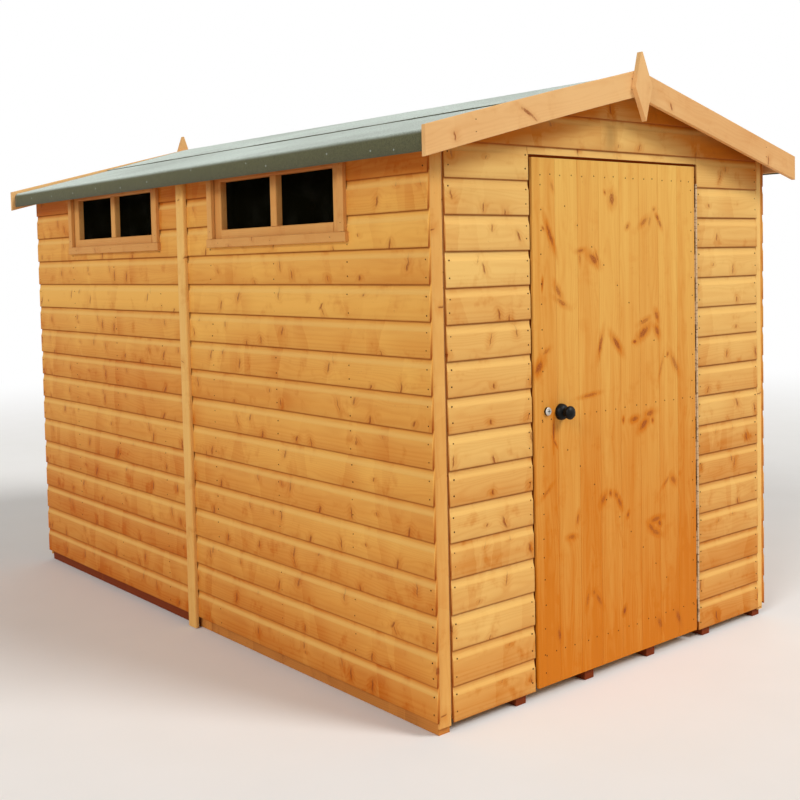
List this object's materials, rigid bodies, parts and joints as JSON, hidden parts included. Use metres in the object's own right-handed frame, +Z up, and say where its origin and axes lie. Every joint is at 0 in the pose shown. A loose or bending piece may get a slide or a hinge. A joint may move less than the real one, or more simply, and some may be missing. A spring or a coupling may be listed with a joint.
{
  "type": "wooden garden shed",
  "caption": "Timber garden shed with shiplap walls, an apex felt roof, a ledged and braced door that opens, and high side windows.",
  "frame": {"origin": "on the ground under the middle of the roof", "axes": "+X across the gables to the right of someone facing the door, +Y from the door gable to the back gable, +Z up"},
  "size_m": [2.02, 3.193, 2.219],
  "materials": {
    "wall_timber": "dip-treated softwood, matt",
    "door_timber": "dip-treated softwood, matt",
    "trim_timber": "dip-treated planed softwood, matt",
    "window_timber": "dip-treated planed softwood, matt",
    "framing_timber": "planed softwood, matt",
    "deck_timber": "sawn softwood boards, matt",
    "floor_timber": "planed softwood boards, matt",
    "treated_timber": "pressure-treated sawn softwood, dark red-brown",
    "roof_felt": "mineral-surfaced green felt, granular",
    "window_glass": "clear sheet, glossy",
    "hinge_steel": "plated, satin",
    "black_knob": "black, semi-gloss",
    "lock_steel": "bright plated"
  },
  "bodies": {
    "shed": {"back_bargeboards": "trim_timber", "back_finial": "trim_timber", "back_gable_studs": "framing_timber", "back_wall": "wall_timber", "bearers": "treated_timber", "bottom_rails": "framing_timber", "corner_strips": "trim_timber", "door_head": "framing_timber", "door_posts": "framing_timber", "eaves_rails": "framing_timber", "felt_left": "roof_felt", "felt_ridge": "roof_felt", "felt_right": "roof_felt", "floor": "floor_timber", "frame_hinge_leaf": "hinge_steel", "front_bargeboards": "trim_timber", "front_finial": "trim_timber", "front_gable_studs": "framing_timber", "front_wall_left": "wall_timber", "front_wall_right": "wall_timber", "front_wall_top": "wall_timber", "gable_raking_rails": "framing_timber", "joint_strips": "trim_timber", "left_wall_lower_back": "wall_timber", "left_wall_lower_front": "wall_timber", "left_wall_studs": "framing_timber", "left_wall_window_heads": "wall_timber", "left_wall_window_piers": "wall_timber", "ridge_beam_and_purlins": "framing_timber", "right_wall_back": "wall_timber", "right_wall_front": "wall_timber", "right_wall_studs": "framing_timber", "roof_deck_left": "deck_timber", "roof_deck_right": "deck_timber", "verge_battens": "framing_timber", "wall_plates": "framing_timber", "window_frame_back": "window_timber", "window_frame_front": "window_timber", "window_glass": "window_glass", "window_sill_rails": "framing_timber", "window_trims": "trim_timber"},
    "door": {"door_boards": "door_timber", "door_braces": "framing_timber", "door_hinge_leaf": "hinge_steel", "door_knob": "black_knob", "door_ledges": "framing_timber", "door_lock": "lock_steel"}
  },
  "joints": [
    {"name": "door_hinge", "type": "hinge", "parent": "shed", "child": "door", "pos_m": [0.4555, -1.4908, 0.9], "axis": [0, 0, 1], "range_deg": [0, 165]}
  ]
}
